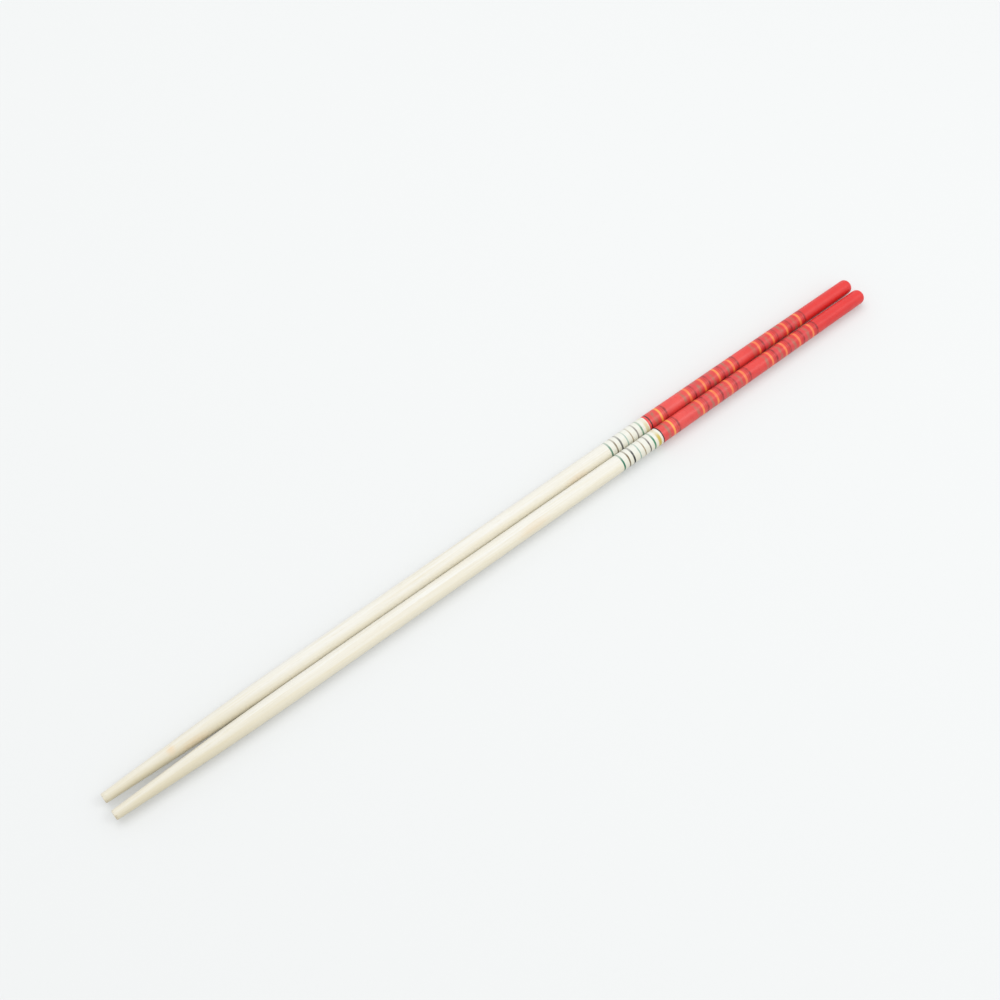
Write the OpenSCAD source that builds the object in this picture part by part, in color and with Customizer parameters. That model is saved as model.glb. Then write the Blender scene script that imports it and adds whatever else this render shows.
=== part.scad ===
// Pair of round bamboo cooking chopsticks with painted handles, lying side by side on a table.
// X runs along the sticks towards their handles, Y across them towards the back stick, and Z up.
// The table is Z = 0, and the origin is the middle of the pair's footprint. Lengths are millimetres.

/* [Stick] */
// Length of one stick, from the tip's cut to the handle end
stick_length = 330; // [260:1:450]
// Diameter of the shank
shank_d = 6.5; // [5.9:0.1:9]
// Diameter of the flat cut at the tip
tip_d = 3.4; // [2:0.1:4.5]
// Length of the plain cone behind the tip
cone_length = 26; // [10:1:60]
// Length over which the cone curves into the shank
blend_length = 41; // [10:1:80]
// Chamfer round the tip's cut
tip_chamfer = 0.25; // [0.1:0.05:0.6]
// Diameter that the handle narrows to, just before its rounded end
handle_end_d = 5.8; // [5:0.1:6.5]
// Radius of the rounding at the handle end
end_round = 2; // [0.5:0.1:2.4]

/* [Pair] */
// Clearance between the two shanks
side_gap = 0.1; // [0.05:0.05:1]

/* [Rings on bare bamboo] */
// Distance from ring to ring
ring_pitch = 2.33; // [1.8:0.01:4]
// Extra distance after the first three rings
ring_group_gap = 0.45; // [0:0.05:2]
// Width of a thin ring
ring_width = 0.5; // [0.2:0.05:0.9]
// Width of the gold ring beside the red paint
gold_width = 1.3; // [0.6:0.05:1.8]

/* [Red handle] */
// Length of the red paint, up to the handle end
red_length = 107.5; // [90:0.5:140]
// Distance from the edge of the red paint to the single orange ring
single_start = 5.3; // [4.2:0.1:12]
// Distance from the edge of the red paint to the first group's first orange ring
first_group_start = 19.8; // [12:0.1:26]
// Distance from the edge of the red paint to the second group's first orange ring
second_group_start = 55.8; // [49:0.1:60]
// Number of orange rings in a group
group_count = 4; // [2:1:4]
// Distance from orange ring to orange ring in a group
group_pitch = 7.35; // [6.6:0.05:8.5]
// Width of an orange ring
orange_width = 0.9; // [0.4:0.05:1.6]
// Distance from an olive ring to the orange ring after it
olive_lead = 2.5; // [1.8:0.05:3]
// Width of an olive ring
olive_width = 1.2; // [0.5:0.05:1.6]
// Distance from an orange ring to the dark line after it
dark_lag = 2.45; // [1.5:0.05:2.8]

/* [Hidden] */
$fn = 96;
shank_r = shank_d / 2;
tip_r = tip_d / 2;
handle_end_r = handle_end_d / 2;
stick_pitch = shank_d + side_gap;

// Places along a stick, all counted from the tip's cut
blend_end = cone_length + blend_length;
red_start = stick_length - red_length;
dome_start = stick_length - end_round;

// The tip's cone widens by cone_slope, and the curved stretch brings that down to nothing in blend_steps
cone_slope = (shank_r - tip_r) / (cone_length + blend_length / 2);
blend_steps = 12;

bamboo = "#ebe5d0";
green = "#2f8f6d";
brown = "#7a5a3a";
black = "#2b2a28";
pale_teal = "#9db9ac";
tan_brown = "#a98a62";
umber = "#5b4a41";
gold = "#d9c35c";
red = "#e0373f";
olive = "#a5705a";
orange = "#fb9a4a";
dark_red = "#7c1f27";

// Rings on the bare bamboo in order from the tip's side, as [middle, width, colour]
bare_colours = [green, brown, black, pale_teal, tan_brown, umber, green, gold];
bare_count = len(bare_colours);
function bare_ring_at(k) = red_start - (bare_count - k) * ring_pitch - (k < 3 ? ring_group_gap : 0);
bare_rings = [
    for (k = [0:bare_count - 1])
        [bare_ring_at(k), k == bare_count - 1 ? gold_width : ring_width, bare_colours[k]]
];

// A black line edges the red paint
edge_line = [[red_start + ring_width / 2, ring_width, black]];

// Every orange ring has an olive ring before it and a dark line after it
group_steps = [for (k = [0:group_count - 1]) k * group_pitch];
orange_places = concat(
    [red_start + single_start],
    [for (s = group_steps) red_start + first_group_start + s],
    [for (s = group_steps) red_start + second_group_start + s]
);
function orange_set(x) = [
    [x - olive_lead, olive_width, olive],
    [x, orange_width, orange],
    [x + dark_lag, ring_width, dark_red]
];

rings = concat(bare_rings, edge_line, [for (x = orange_places) each orange_set(x)]);
last_ring = len(rings) - 1;
function ring_start(k) = rings[k][0] - rings[k][1] / 2;
function ring_end(k) = rings[k][0] + rings[k][1] / 2;

// Radius of the curved stretch between the cone and the shank
function blend_r(x) = shank_r - cone_slope * pow(blend_end - x, 2) / (2 * blend_length);

// Radius of the shank and of the handle, which narrows along its red paint
function handle_r(x) = x <= red_start ? shank_r
    : shank_r + (handle_end_r - shank_r) * (x - red_start) / (dome_start - red_start);

// Bare bamboo up to the first ring: a chamfered cut, a plain cone, a curved stretch and the shank
module bare_bamboo()
    color(bamboo)
        rotate_extrude()
            polygon(concat(
                [[0, 0], [tip_r - tip_chamfer, 0], [tip_r + cone_slope * tip_chamfer, tip_chamfer]],
                [
                    for (i = [0:blend_steps])
                        let (x = cone_length + i * blend_length / blend_steps)
                            [blend_r(x), x]
                ],
                [[shank_r, ring_start(0)], [0, ring_start(0)]]
            ));

// A length of the handle in one colour, whether a painted ring or the ground between two rings
module band(x0, x1, colour)
    color(colour)
        rotate_extrude()
            polygon([[0, x0], [handle_r(x0), x0], [handle_r(x1), x1], [0, x1]]);

// Rounded handle end, with a small flat in its middle
module handle_dome()
    color(red)
        rotate_extrude()
            translate([0, dome_start]) {
                square([handle_end_r - end_round, end_round]);
                translate([handle_end_r - end_round, 0])
                    intersection() {
                        circle(end_round);
                        square(end_round);
                    }
            }

// One stick about its own axis, with its tip's cut at the start
module stick() {
    bare_bamboo();
    for (k = [0:last_ring]) {
        band(ring_start(k), ring_end(k), rings[k][2]);
        if (k < last_ring)
            band(ring_end(k), ring_start(k + 1), rings[k][0] > red_start ? red : bamboo);
    }
    band(ring_end(last_ring), dome_start, red);
    handle_dome();
}

// A stick laid on the table: side is 1 for the back one and -1 for the front one
module laid_stick(side)
    translate([-stick_length / 2, side * stick_pitch / 2, shank_r])
        rotate([0, 90, 0])
            stick();

module back_chopstick() laid_stick(1);
module front_chopstick() laid_stick(-1);

back_chopstick();
front_chopstick();
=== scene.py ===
"""Pair of bamboo cooking chopsticks with painted handles, lying side by side on a pale table."""

import math

import bpy
import numpy as np
from mathutils import Matrix, Vector


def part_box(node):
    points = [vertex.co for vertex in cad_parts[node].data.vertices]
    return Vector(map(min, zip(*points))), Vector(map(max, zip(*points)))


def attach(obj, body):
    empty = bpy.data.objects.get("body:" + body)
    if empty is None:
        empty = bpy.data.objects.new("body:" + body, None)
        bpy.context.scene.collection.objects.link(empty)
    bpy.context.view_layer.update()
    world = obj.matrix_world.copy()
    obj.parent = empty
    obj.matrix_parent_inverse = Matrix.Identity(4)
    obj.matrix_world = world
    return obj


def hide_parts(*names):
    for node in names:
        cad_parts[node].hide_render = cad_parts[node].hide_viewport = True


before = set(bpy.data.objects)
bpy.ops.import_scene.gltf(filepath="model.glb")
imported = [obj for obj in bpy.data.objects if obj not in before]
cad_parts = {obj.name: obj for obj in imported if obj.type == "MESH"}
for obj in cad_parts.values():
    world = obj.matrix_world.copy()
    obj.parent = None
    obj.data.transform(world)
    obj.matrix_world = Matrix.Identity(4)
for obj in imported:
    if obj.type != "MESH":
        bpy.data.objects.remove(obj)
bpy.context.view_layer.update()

# Turned and painted sticks
# Each is one length of split bamboo, turned on a lathe to a slim tip with a flat cut and to a domed handle.
# Thin rings and the red coat are brushed on while it turns. The two lie loose, side by side.

# Sizes of one stick in millimetres. Its length and its shank come from the back stick's part in model.glb.
MM = 0.001
stick_lo, stick_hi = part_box("back_chopstick")
stick_length = (stick_hi.x - stick_lo.x) / MM
shank_r = (stick_hi.z - stick_lo.z) / MM / 2
tip_r = 1.7
tip_edge = 0.25
cone_length = 26.0
blend_length = 41.0
handle_end_r = 2.9
end_round = 2.0
red_length = 107.5

# Painted rings: places and widths in millimetres, and how far each thin ring strays from an even pitch
bare_ring_pitch = 2.33
bare_ring_gap = 0.45
rings_before_gap = 3
bare_ring_drift = (0.0, 0.22, 0.16, 0.18, 0.2, 0.4, 0.36, 0.1)
bare_ring_count = len(bare_ring_drift)
thin_ring = 0.5
gold_ring = 1.3
orange_ring = 0.9
olive_ring = 1.2
olive_lead = 2.5
dark_lag = 2.45
faint_lag = 1.6
group_pitch = 7.35
group_count = 4
group_starts = (19.8, 55.8)
single_start = 5.3

# Places along the stick, counted from the tip's cut
blend_end = cone_length + blend_length
cone_slope = (shank_r - tip_r) / (cone_length + blend_length / 2)
red_start = stick_length - red_length
dome_start = stick_length - end_round
bare_rings = []
for k, drift in enumerate(bare_ring_drift):
    gap = bare_ring_gap if k < rings_before_gap else 0
    bare_rings.append(red_start - (bare_ring_count - k) * bare_ring_pitch - gap + drift)
group_steps = [k * group_pitch for k in range(group_count)]
orange_rings = [red_start + single_start]
orange_rings += [red_start + start + step for start in group_starts for step in group_steps]
dark_rings = [centre + dark_lag for centre in orange_rings]
paint_start = bare_rings[0] - thin_ring / 2

# Under the paint the wood is sanded down, and the coat and the beads of the rings bring the surface back out
sanded = 0.03
sanding_run = 1.0
red_coat = 0.01
coat_edge = 0.2
ring_bead = 0.02
bead_spread = 0.6
bead_centres = np.array(bare_rings + orange_rings + dark_rings)
bead_widths = np.array(
    [thin_ring] * (bare_ring_count - 1)
    + [gold_ring]
    + [orange_ring] * len(orange_rings)
    + [thin_ring] * len(dark_rings)
)
bead_reach = bead_spread * bead_widths


def paint_height(x):
    """Height of the surface over the bare wood's at x: down by the sanding just before the paint starts, up
    by the red coat, and up by a low rounded bead, 1 - d squared, at each ring, where d is the distance from
    its middle over its reach."""
    coated = np.clip((x - red_start) / coat_edge + 0.5, 0, 1)
    sunk = np.clip((x - paint_start) / sanding_run + 1, 0, 1)
    bead = 1 - ((x[:, None] - bead_centres) / bead_reach) ** 2
    return red_coat * coated - sanded * sunk + ring_bead * np.clip(bead, 0, 1).max(axis=1)


def turned_profile():
    """Points (x, r) of the turned outline, from beside the middle of the tip's cut to that of the handle's.

    The cone widens in a straight line, the blend is a parabola that meets cone and shank smoothly, the shank
    is straight, the handle narrows in a straight line, and both ends turn in by quarter circles."""
    cut_rows = 8
    edge_rows = 6
    tip_rows = 90
    shank_rows = 60
    handle_rows = 100
    bead_rows = 7
    dome_rows = 18
    end_rows = 5
    edge = np.linspace(0, np.pi / 2, edge_rows)
    dome = np.linspace(0, np.pi / 2, dome_rows)[1:]
    cut_r = np.linspace(0, tip_r - tip_edge, cut_rows)[1:-1]
    bead_x = bead_centres[:, None] + bead_reach[:, None] * np.linspace(-1, 1, bead_rows)
    x = np.unique(np.concatenate([
        np.linspace(tip_edge, blend_end, tip_rows)[1:],
        np.linspace(blend_end, paint_start, shank_rows),
        np.linspace(paint_start, dome_start, handle_rows),
        bead_x.ravel(),
    ]))
    blend = shank_r - cone_slope * (blend_end - np.minimum(x, blend_end)) ** 2 / (2 * blend_length)
    r = np.where(x < cone_length, tip_r + cone_slope * x, blend)
    narrowing = (handle_end_r - shank_r) / (dome_start - red_start)
    r = r + narrowing * np.maximum(x - red_start, 0) + paint_height(x)
    end_r = np.linspace(r[-1] - end_round, 0, end_rows)[1:-1]
    profile_x = np.concatenate([
        0 * cut_r,
        tip_edge * (1 - np.cos(edge)),
        x,
        dome_start + end_round * np.sin(dome),
        0 * end_r + stick_length,
    ])
    profile_r = np.concatenate([
        cut_r,
        tip_r - tip_edge * (1 - np.sin(edge)),
        r,
        r[-1] - end_round * (1 - np.cos(dome)),
        end_r,
    ])
    return profile_x, profile_r


def strip_map(x, r, around):
    """Texture places that lay the surface out flat in level strips, two broad ones for the bare bamboo and
    four narrow ones for the painted handle. Along a strip runs the distance along the outline, and up it the
    angle."""
    side = 0.004
    gap = 0.003
    bare_strips = 2
    painted_strips = 4
    heights = np.array([0.22] * bare_strips + [0.13] * painted_strips)
    bottoms = np.concatenate([[0], np.cumsum(heights + 2 * gap)])[:-1] + gap
    reach = np.concatenate([[0], r, [0]])
    place = np.concatenate([[0], x, [stick_length]])
    run = np.concatenate([[0], np.cumsum(np.hypot(np.diff(place), np.diff(reach)))])
    painted = np.interp(paint_start, place, run)
    bare_ends = np.linspace(0, painted, bare_strips + 1)
    painted_ends = np.linspace(painted, run[-1], painted_strips + 1)[1:]
    cuts = np.searchsorted(run, np.concatenate([bare_ends, painted_ends]))
    cuts[-1] = len(run) - 1
    row = np.arange(len(run) - 1)
    strip = np.searchsorted(cuts, row, side="right") - 1
    first = run[cuts[strip]]
    length = run[cuts[strip + 1]] - first
    u_lo = side + (1 - 2 * side) * (run[row] - first) / length
    u_hi = side + (1 - 2 * side) * (run[row + 1] - first) / length
    turn = np.arange(around + 1) / around
    v = bottoms[strip][:, None] + heights[strip][:, None] * turn
    v_lo, v_hi = v[:, :-1], v[:, 1:]
    v_mid = (v_lo + v_hi) / 2
    lo, hi = u_lo[:, None] + 0 * v_lo, u_hi[:, None] + 0 * v_lo
    quads = np.stack([np.stack([lo, lo, hi, hi], -1), np.stack([v_lo, v_hi, v_hi, v_lo], -1)], -1)[1:-1]
    tip = np.stack([np.stack([lo, hi, hi], -1), np.stack([v_mid, v_hi, v_lo], -1)], -1)[0]
    end = np.stack([np.stack([hi, lo, lo], -1), np.stack([v_mid, v_lo, v_hi], -1)], -1)[-1]
    return np.concatenate([quads.reshape(-1, 2), tip.reshape(-1, 2), end.reshape(-1, 2)])


def stick_mesh(name, axis_y):
    """The outline turned about the stick's axis: point (i, j) is at x_i along the axis, at distance r_i from
    it and at angle 2 pi j / n round it from the back, and a single point closes each end."""
    around = 96
    x, r = turned_profile()
    rows = len(x)
    angle = np.arange(around) * 2 * np.pi / around
    px = np.repeat(stick_lo.x + x * MM, around)
    py = (axis_y + r[:, None] * MM * np.cos(angle)).ravel()
    pz = ((shank_r + r[:, None] * np.sin(angle)) * MM).ravel()
    ends = [[stick_lo.x, axis_y, shank_r * MM], [stick_hi.x, axis_y, shank_r * MM]]
    points = np.concatenate([np.stack([px, py, pz], 1), ends])
    i, j = np.meshgrid(np.arange(rows - 1), np.arange(around), indexing="ij")
    beside = (j + 1) % around
    row = i * around
    next_row = (i + 1) * around
    quads = np.stack([row + j, row + beside, next_row + beside, next_row + j], -1)
    column = np.arange(around)
    next_column = (column + 1) % around
    last = (rows - 1) * around
    tip_fan = np.stack([np.full(around, rows * around), next_column, column], 1)
    end_fan = np.stack([np.full(around, rows * around + 1), last + column, last + next_column], 1)
    mesh = bpy.data.meshes.new(name)
    mesh.from_pydata(points, [], quads.reshape(-1, 4).tolist() + tip_fan.tolist() + end_fan.tolist())
    mesh.polygons.foreach_set("use_smooth", np.ones(len(mesh.polygons), bool))
    strips = mesh.uv_layers.new(name="OFBake")
    strips.data.foreach_set("uv", strip_map(x, r, around).ravel())
    mesh.update()
    return mesh


def srgb(r, g, b):
    """A colour of 0 to 255 in the display's scale, as the linear colour that a shader takes."""
    c = np.array([r, g, b]) / 255
    return tuple(np.where(c <= 0.04045, c / 12.92, ((c + 0.055) / 1.055) ** 2.4)) + (1.0,)


class Finish:
    """A material in the making: each call adds a node or two and returns the socket to read."""

    def __init__(self, name, axis_y, shift):
        """Start a material that knows the place along a stick and across it, in millimetres."""
        self.material = bpy.data.materials.new(name)
        self.material.use_nodes = True
        self.nodes = self.material.node_tree.nodes
        self.links = self.material.node_tree.links
        self.shader = self.nodes["Principled BSDF"]
        self.shift = shift
        self.place = self.nodes.new("ShaderNodeTexCoord").outputs["Object"]
        split = self.nodes.new("ShaderNodeSeparateXYZ")
        self.feed(split.inputs[0], self.place)
        self.along = self.math("MULTIPLY_ADD", split.outputs["X"], 1 / MM, -stick_lo.x / MM)
        self.across = self.math("MULTIPLY_ADD", split.outputs["Y"], 1 / MM, -axis_y / MM)

    def feed(self, socket, value):
        """Link a socket to another one, or set it to a fixed value."""
        if isinstance(value, bpy.types.NodeSocket):
            self.links.new(value, socket)
        else:
            socket.default_value = value

    def math(self, operation, *values):
        """One step of arithmetic on sockets or numbers."""
        node = self.nodes.new("ShaderNodeMath")
        node.operation = operation
        for socket, value in zip(node.inputs, values):
            self.feed(socket, value)
        return node.outputs[0]

    def noise(self, along, across, detail):
        """Noise whose grains are so many millimetres long and wide."""
        spread = self.nodes.new("ShaderNodeMapping")
        self.feed(spread.inputs["Vector"], self.place)
        spread.inputs["Scale"].default_value = (1 / (along * MM), 1 / (across * MM), 1 / (across * MM))
        spread.inputs["Location"].default_value = self.shift
        node = self.nodes.new("ShaderNodeTexNoise")
        self.feed(node.inputs["Vector"], spread.outputs[0])
        node.inputs["Scale"].default_value = 1.0
        node.inputs["Detail"].default_value = detail
        return node.outputs["Fac"]

    def ranged(self, value, lo, hi, to_lo=0.0, to_hi=1.0):
        """A smooth step from to_lo to to_hi as the value goes from lo to hi."""
        node = self.nodes.new("ShaderNodeMapRange")
        node.interpolation_type = "SMOOTHSTEP"
        for socket, v in zip(node.inputs, (value, lo, hi, to_lo, to_hi)):
            self.feed(socket, v)
        return node.outputs[0]

    def mixed(self, share, under, over):
        """One colour laid over another by a share from 0 to 1."""
        node = self.nodes.new("ShaderNodeMix")
        node.data_type = "RGBA"
        self.feed(node.inputs["Factor"], share)
        self.feed(node.inputs[6], under)
        self.feed(node.inputs[7], over)
        return node.outputs[2]

    def band(self, at, centre, width, soft):
        """1 within a band about a place along the stick and 0 outside it, with soft edges."""
        distance = self.math("ABSOLUTE", self.math("SUBTRACT", at, centre))
        return self.ranged(distance, width / 2 + soft / 2, width / 2 - soft / 2)

    def near(self, point, reach):
        """1 round a point, as far as a quarter of its reach, fading to 0 at the whole reach, which has its
        own length along each axis."""
        offset = self.nodes.new("ShaderNodeVectorMath")
        offset.operation = "SUBTRACT"
        self.feed(offset.inputs[0], self.place)
        offset.inputs[1].default_value = point
        part = self.nodes.new("ShaderNodeVectorMath")
        part.operation = "DIVIDE"
        self.feed(part.inputs[0], offset.outputs[0])
        part.inputs[1].default_value = reach
        length = self.nodes.new("ShaderNodeVectorMath")
        length.operation = "LENGTH"
        self.feed(length.inputs[0], part.outputs[0])
        return self.ranged(length.outputs["Value"], 1.0, 0.25)


def bamboo_colour(finish, fibre, axis_y, node_marks):
    """Pale bamboo with long fibres, broader streaks and short brown vessels, and painted warm shade that
    makes the front yellower. It is warmer towards the tip, and more so on the front, which is painted shade
    too.
    A warm patch shows where a node of the cane was turned away, and brown flecks lie round the tip's cut."""
    pale_wood = srgb(217, 216, 210)
    fibre_wood = srgb(212, 208, 193)
    streak_tan = srgb(208, 198, 172)
    vessel_brown = srgb(188, 173, 139)
    warm_shade_cream = srgb(226, 217, 188)
    tip_tan = srgb(201, 191, 160)
    node_tan = srgb(216, 185, 143)
    fleck_brown = srgb(145, 125, 84)
    warm_from = 85
    warm_to = 5
    node_width = 2.6
    fleck_from = 1.4
    fleck_to = 0.1
    streak = finish.noise(along=90, across=1.6, detail=2)
    vessel = finish.noise(along=5, across=0.16, detail=1)
    colour = finish.mixed(finish.ranged(fibre, 0.35, 0.75), pale_wood, fibre_wood)
    colour = finish.mixed(finish.ranged(streak, 0.45, 0.8, 0, 0.35), colour, streak_tan)
    colour = finish.mixed(finish.ranged(vessel, 0.62, 0.78, 0, 0.4), colour, vessel_brown)
    # Painted warm shade: the front of the stick is tinted towards cream.
    colour = finish.mixed(finish.ranged(finish.across, -0.6, -3.0, 0, 0.5), colour, warm_shade_cream)
    # The tip's warmth is its own colour, but its greater strength on the front is painted warm shade.
    tip_front_shade = finish.ranged(finish.across, 0.3, -2.0, 0.3, 0.75)
    tip_warmth_and_shade = finish.math("MULTIPLY", finish.ranged(finish.along, warm_from, warm_to), tip_front_shade)
    colour = finish.mixed(tip_warmth_and_shade, colour, tip_tan)
    for mark_x, mark_angle, mark_length, strength in node_marks:
        turn = math.radians(mark_angle)
        mark = (
            stick_lo.x + mark_x * MM,
            axis_y + shank_r * MM * math.cos(turn),
            shank_r * MM * (1 + math.sin(turn)),
        )
        patch = finish.near(mark, (mark_length * MM, node_width * MM, node_width * MM))
        fibrous = finish.ranged(fibre, 0.3, 0.7, 0.5 * strength, strength)
        colour = finish.mixed(finish.math("MULTIPLY", patch, fibrous), colour, node_tan)
    fleck = finish.ranged(finish.noise(along=0.9, across=0.35, detail=2), 0.5, 0.62)
    by_cut = finish.ranged(finish.along, fleck_from, fleck_to, 0, 0.5)
    return finish.mixed(finish.math("MULTIPLY", fleck, by_cut), colour, fleck_brown)


def ringed_colour(finish, at, colour, ring_share, gold_share):
    """Thin rings on a slightly whitened ground, a little worn, and a soft gold ring beside the red. All of
    them are fainter towards the back, a painted highlight where the light from behind washes them out."""
    whitened_wood = srgb(213, 216, 206)
    gold = srgb(188, 166, 64)
    ring_paints = {
        "first green": (srgb(19, 106, 79), 0.72),
        "brown": (srgb(98, 80, 42), 0.62),
        "black": (srgb(20, 22, 24), 0.76),
        "pale teal": (srgb(130, 160, 148), 0.5),
        "tan": (srgb(140, 122, 90), 0.5),
        "umber": (srgb(86, 77, 72), 0.58),
        "second green": (srgb(26, 117, 79), 0.72),
    }
    whitened_share = 0.4
    ring_soft = 0.2
    ring_share_in_highlight = 0.5
    gold_soft = 0.7
    gold_lag = 0.2
    gold_share_in_highlight = 0.3
    whitened = finish.ranged(at, paint_start - 0.1, paint_start + 0.3, 0, whitened_share)
    colour = finish.mixed(whitened, colour, whitened_wood)
    worn = finish.ranged(finish.noise(along=2.4, across=2.4, detail=3), 0.25, 0.6, 0.8, 1.0)
    # Painted highlight: the rings fade towards the back, where the light from behind and above falls.
    highlight_fade = finish.ranged(finish.across, 1.6, -1.6, ring_share_in_highlight * ring_share, ring_share)
    kept = finish.math("MULTIPLY", worn, highlight_fade)
    for centre, (paint, width) in zip(bare_rings, ring_paints.values()):
        cover = finish.math("MULTIPLY", finish.band(at, centre, width, ring_soft), kept)
        colour = finish.mixed(cover, colour, paint)
    gilded = finish.band(at, bare_rings[-1] + gold_lag, gold_ring, gold_soft)
    # Painted highlight: the gold ring fades towards the back in the same way.
    highlight_fade = finish.ranged(finish.across, 0.6, -1.8, gold_share_in_highlight * gold_share, gold_share)
    return finish.mixed(finish.math("MULTIPLY", gilded, highlight_fade), colour, gold)


def red_colour(finish, at, line_at):
    """Red coat, purer towards the handle end and duller within the two groups, with a dark line at its edge.
    Each orange ring has a patchy olive ring before it and a faint and a dark line after it, and a rosier
    stretch comes before the next ring of its group."""
    dull_red = srgb(188, 46, 50)
    mottle_red = srgb(194, 38, 42)
    rose_red = srgb(200, 66, 72)
    olive = srgb(152, 104, 82)
    orange = srgb(225, 110, 66)
    yellow = srgb(229, 164, 72)
    faint_red = srgb(104, 8, 18)
    dark_red = srgb(84, 2, 10)
    edge_black = srgb(39, 21, 24)
    dull_soft = 0.8
    dull_share = 0.25
    rose_length = 2.4
    rose_soft = 0.9
    rose_share = 0.4
    olive_soft = 0.7
    orange_spread = 0.1
    orange_soft = 0.6
    core_width = 0.6
    core_soft = 0.4
    single_yellow = 0.9
    second_group_fade = 0.6
    faint_width = 0.35
    faint_soft = 0.25
    faint_share = 0.3
    dark_width = 0.8
    dark_soft = 0.6
    line_soft = 0.15
    brushed = finish.ranged(finish.noise(along=11, across=11, detail=3), 0.3, 0.7)
    red_at_rings = finish.mixed(brushed, srgb(215, 72, 66), srgb(206, 64, 60))
    red_at_end = finish.mixed(brushed, srgb(209, 40, 36), srgb(201, 32, 30))
    red = finish.mixed(finish.ranged(finish.along, red_start, dome_start), red_at_rings, red_at_end)
    group_length = (group_count - 1) * group_pitch
    dull_bands = [(single_start / 2, single_start)]
    dull_bands += [(start + group_length / 2, group_length + 2 * dark_lag) for start in group_starts]
    for middle, length in dull_bands:
        dulled = finish.band(at, red_start + middle, length, dull_soft)
        red = finish.mixed(finish.math("MULTIPLY", dulled, dull_share), red, dull_red)
    mottle = finish.ranged(finish.noise(along=0.9, across=1.6, detail=3), 0.45, 0.75, 0, 0.35)
    red = finish.mixed(mottle, red, mottle_red)
    followed_rings = [red_start + start + step for start in group_starts for step in group_steps[:-1]]
    for centre in followed_rings:
        rose = finish.band(at, centre + dark_lag + rose_length / 2, rose_length, rose_soft)
        red = finish.mixed(finish.math("MULTIPLY", rose, rose_share), red, rose_red)
    blotch = finish.ranged(finish.noise(along=1.2, across=1.5, detail=3), 0.38, 0.62, 0.2, 0.85)
    yellowed = finish.ranged(finish.noise(along=3, across=3, detail=2), 0.42, 0.66, 0.05, 0.6)
    faded = finish.math("MULTIPLY", yellowed, second_group_fade)
    patchy = finish.ranged(finish.noise(along=2.5, across=2.0, detail=2), 0.35, 0.62, 0.25, 0.7)
    yellow_shares = [single_yellow] + [yellowed] * group_count + [faded] * group_count
    for centre, yellow_share in zip(orange_rings, yellow_shares):
        before = finish.band(at, centre - olive_lead, olive_ring, olive_soft)
        red = finish.mixed(finish.math("MULTIPLY", before, blotch), red, olive)
        ring = finish.band(at, centre, orange_ring + orange_spread, orange_soft)
        red = finish.mixed(ring, red, orange)
        core = finish.band(at, centre, core_width, core_soft)
        red = finish.mixed(finish.math("MULTIPLY", core, yellow_share), red, yellow)
        faint = finish.band(at, centre + faint_lag, faint_width, faint_soft)
        red = finish.mixed(finish.math("MULTIPLY", faint, faint_share), red, faint_red)
        dark = finish.band(at, centre + dark_lag, dark_width, dark_soft)
        red = finish.mixed(finish.math("MULTIPLY", dark, patchy), red, dark_red)
    return finish.mixed(finish.band(at, line_at, thin_ring, line_soft), red, edge_black)


def painted_bamboo(name, axis_y, shift, red_lead, line_lag, ring_share, gold_share, node_marks):
    """Bare bamboo, rings and red coat joined into one finish that reads only object coordinates: matt bamboo
    with a fibrous surface, and satin paint with the fine ripples of a brush held to the turning stick. Edges
    of paint wobble a little, because each is put on by hand."""
    wobble_range = 0.5
    red_soft = 0.06
    bamboo_roughness = 0.58
    paint_roughness = 0.4
    ripple_share = 0.4
    relief_soft = 0.2
    relief_strength = 0.6
    relief_depth = 0.02
    finish = Finish(name, axis_y, shift)
    unsteady = finish.noise(along=6, across=6, detail=2)
    wobble = finish.math("MULTIPLY_ADD", unsteady, wobble_range, -wobble_range / 2)
    at = finish.math("ADD", finish.along, wobble)
    fibre = finish.noise(along=30, across=0.38, detail=3)
    colour = bamboo_colour(finish, fibre, axis_y, node_marks)
    colour = ringed_colour(finish, at, colour, ring_share, gold_share)
    red_edge = red_start - red_lead
    reddened = finish.ranged(at, red_edge - red_soft, red_edge + red_soft)
    colour = finish.mixed(reddened, colour, red_colour(finish, at, red_edge + line_lag))
    finish.feed(finish.shader.inputs["Base Color"], colour)
    roughness = finish.ranged(reddened, 0, 1, bamboo_roughness, paint_roughness)
    finish.feed(finish.shader.inputs["Roughness"], roughness)
    ripple = finish.noise(along=0.5, across=14, detail=2)
    relief = finish.nodes.new("ShaderNodeMix")
    relief.data_type = "FLOAT"
    painted = finish.ranged(at, paint_start - relief_soft, paint_start + relief_soft)
    finish.feed(relief.inputs["Factor"], painted)
    finish.feed(relief.inputs[2], fibre)
    finish.feed(relief.inputs[3], finish.math("MULTIPLY", ripple, ripple_share))
    bump = finish.nodes.new("ShaderNodeBump")
    bump.inputs["Strength"].default_value = relief_strength
    bump.inputs["Distance"].default_value = relief_depth * MM
    finish.feed(bump.inputs["Height"], relief.outputs[0])
    finish.feed(finish.shader.inputs["Normal"], bump.outputs[0])
    return finish.material


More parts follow.
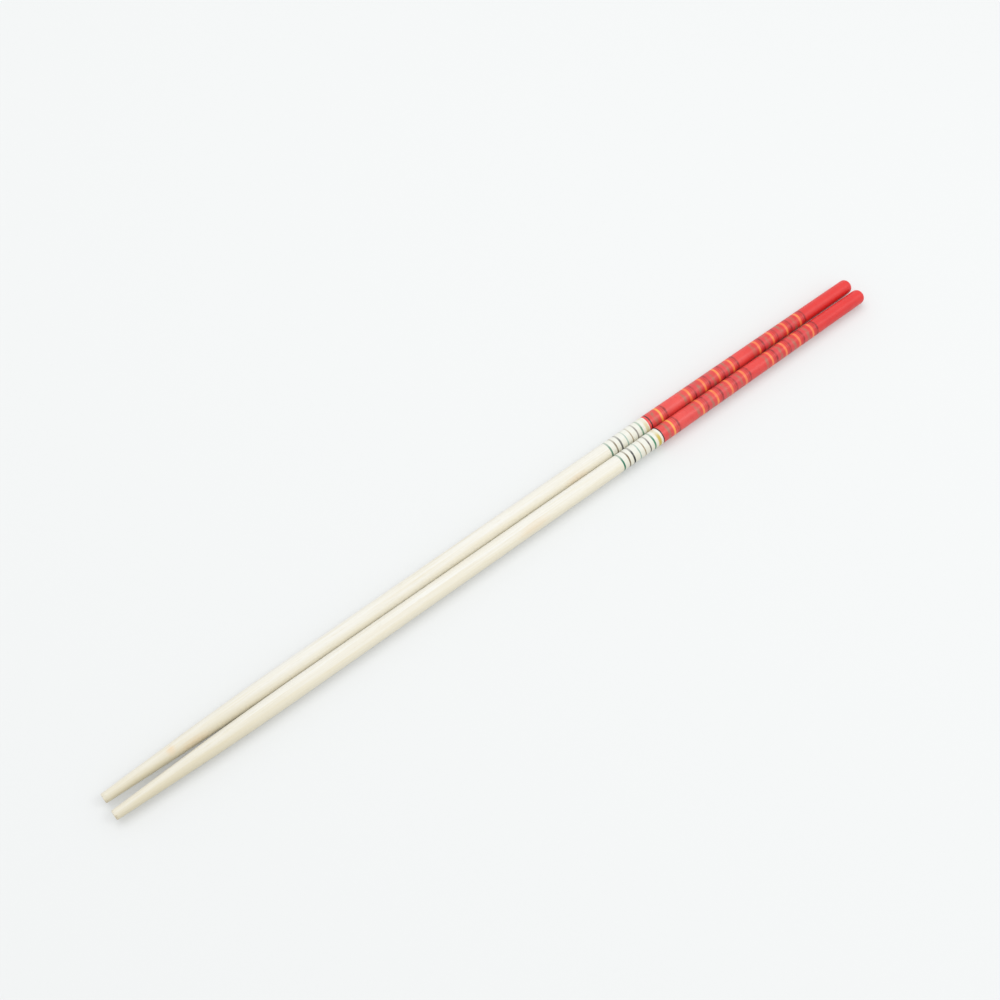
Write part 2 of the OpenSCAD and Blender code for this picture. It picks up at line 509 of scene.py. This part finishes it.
# How the two sticks differ: shift moves the noise, red_lead is how far before red_start the red begins,
# line_lag is how far inside its edge the dark line lies, and ring_share and gold_share are how much is left
# of the thin rings and of the gold one. A node mark gives millimetres from the tip, degrees round from the
# back, length in millimetres and strength.
sticks = {
    "back_chopstick": dict(
        shift=(3.0, 1.0, 2.0),
        red_lead=1.0,
        line_lag=1.25,
        ring_share=0.88,
        gold_share=0.5,
        node_marks=[(23.8, 104, 2.2, 0.6), (31, 148, 8.0, 0.35), (187, 156, 7.0, 0.35)],
    ),
    "front_chopstick": dict(
        shift=(41.0, 17.0, 29.0),
        red_lead=0.5,
        line_lag=0.25,
        ring_share=1.0,
        gold_share=0.95,
        node_marks=[(162, 138, 9.0, 0.3)],
    ),
}
for node, look in sticks.items():
    lo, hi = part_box(node)
    axis_y = (lo.y + hi.y) / 2
    mesh = stick_mesh(node + "_turned", axis_y)
    mesh.materials.append(painted_bamboo(node + " paint", axis_y, **look))
    stick = bpy.data.objects.new(node + "_turned", mesh)
    bpy.context.scene.collection.objects.link(stick)
    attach(stick, "root")
    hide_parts(node)

# Table
# A plain pale board, wide enough to fill the picture. It gives off a little light of its own, and more of it
# further out, where the soft boxes don't reach, so that its far edge is about as white as the room.
white = (1.0, 1.0, 1.0, 1.0)
table_grey = srgb(195, 197, 197)
table_half = 3.0
table_roughness = 0.7
table_gloss = 0.2
glow_near = 0.17
glow_far = 0.38
glow_reach = 1.7
table_mesh = bpy.data.meshes.new("table")
table_corners = [(-table_half, -table_half, 0), (table_half, -table_half, 0)]
table_corners += [(table_half, table_half, 0), (-table_half, table_half, 0)]
table_mesh.from_pydata(table_corners, [], [(0, 1, 2, 3)])
table_finish = Finish("pale table", 0.0, (0.0, 0.0, 0.0))
beside_sticks = table_finish.near((0.0, 0.0, 0.0), (glow_reach, glow_reach, glow_reach))
table_glow = table_finish.math("MULTIPLY_ADD", beside_sticks, glow_near - glow_far, glow_far)
table_shader = table_finish.shader
table_finish.feed(table_shader.inputs["Base Color"], table_grey)
table_finish.feed(table_shader.inputs["Roughness"], table_roughness)
table_finish.feed(table_shader.inputs["Specular IOR Level"], table_gloss)
table_finish.feed(table_shader.inputs["Emission Color"], white)
table_finish.feed(table_shader.inputs["Emission Strength"], table_glow)
table_mesh.materials.append(table_finish.material)
table = bpy.data.objects.new("table", table_mesh)
bpy.context.scene.collection.objects.link(table)

# Light
# A soft box above the sticks, a little behind them, a smaller one in front, on the handles' side, and a
# bright white room. Both boxes face the middle of the pair.
softboxes = {
    "top": dict(stands_at=Vector((0.0, 0.45, 1.22)), size=0.9, energy=5.2),
    "front": dict(stands_at=Vector((0.5, -0.45, 0.9)), size=0.45, energy=2.5),
}
room_strength = 0.96
for name, box in softboxes.items():
    softbox = bpy.data.lights.new(name, "AREA")
    softbox.shape = "SQUARE"
    softbox.size = box["size"]
    softbox.energy = box["energy"]
    softbox_place = bpy.data.objects.new(name, softbox)
    faces_pair = box["stands_at"].to_track_quat("Z", "Y").to_matrix().to_4x4()
    softbox_place.matrix_world = Matrix.Translation(box["stands_at"]) @ faces_pair
    bpy.context.scene.collection.objects.link(softbox_place)
room = bpy.data.worlds.new("white room")
room.use_nodes = True
room_light = room.node_tree.nodes["Background"]
room_light.inputs["Color"].default_value = white
room_light.inputs["Strength"].default_value = room_strength
bpy.context.scene.world = room
bpy.context.scene.view_settings.view_transform = "Standard"

# Camera
# It stands in front of the sticks, nearer to their tips, and looks down on them, so that the pair runs from
# corner to corner of a square picture.
lens = bpy.data.cameras.new("camera")
lens.sensor_width = 36.0
lens.lens = 42.584
lens.clip_start = 0.01
view_azimuth = math.radians(51.302)
view_down = math.radians(58.269)
camera_at = Vector((-0.140932, -0.158951, 0.355883))
looks_level = math.cos(view_down)
looks = Vector((
    looks_level * math.cos(view_azimuth),
    looks_level * math.sin(view_azimuth),
    -math.sin(view_down),
))
looks_down = (-looks).to_track_quat("Z", "Y").to_matrix().to_4x4()
camera = bpy.data.objects.new("camera", lens)
camera.matrix_world = Matrix.Translation(camera_at) @ looks_down
bpy.context.scene.collection.objects.link(camera)
bpy.context.scene.camera = camera
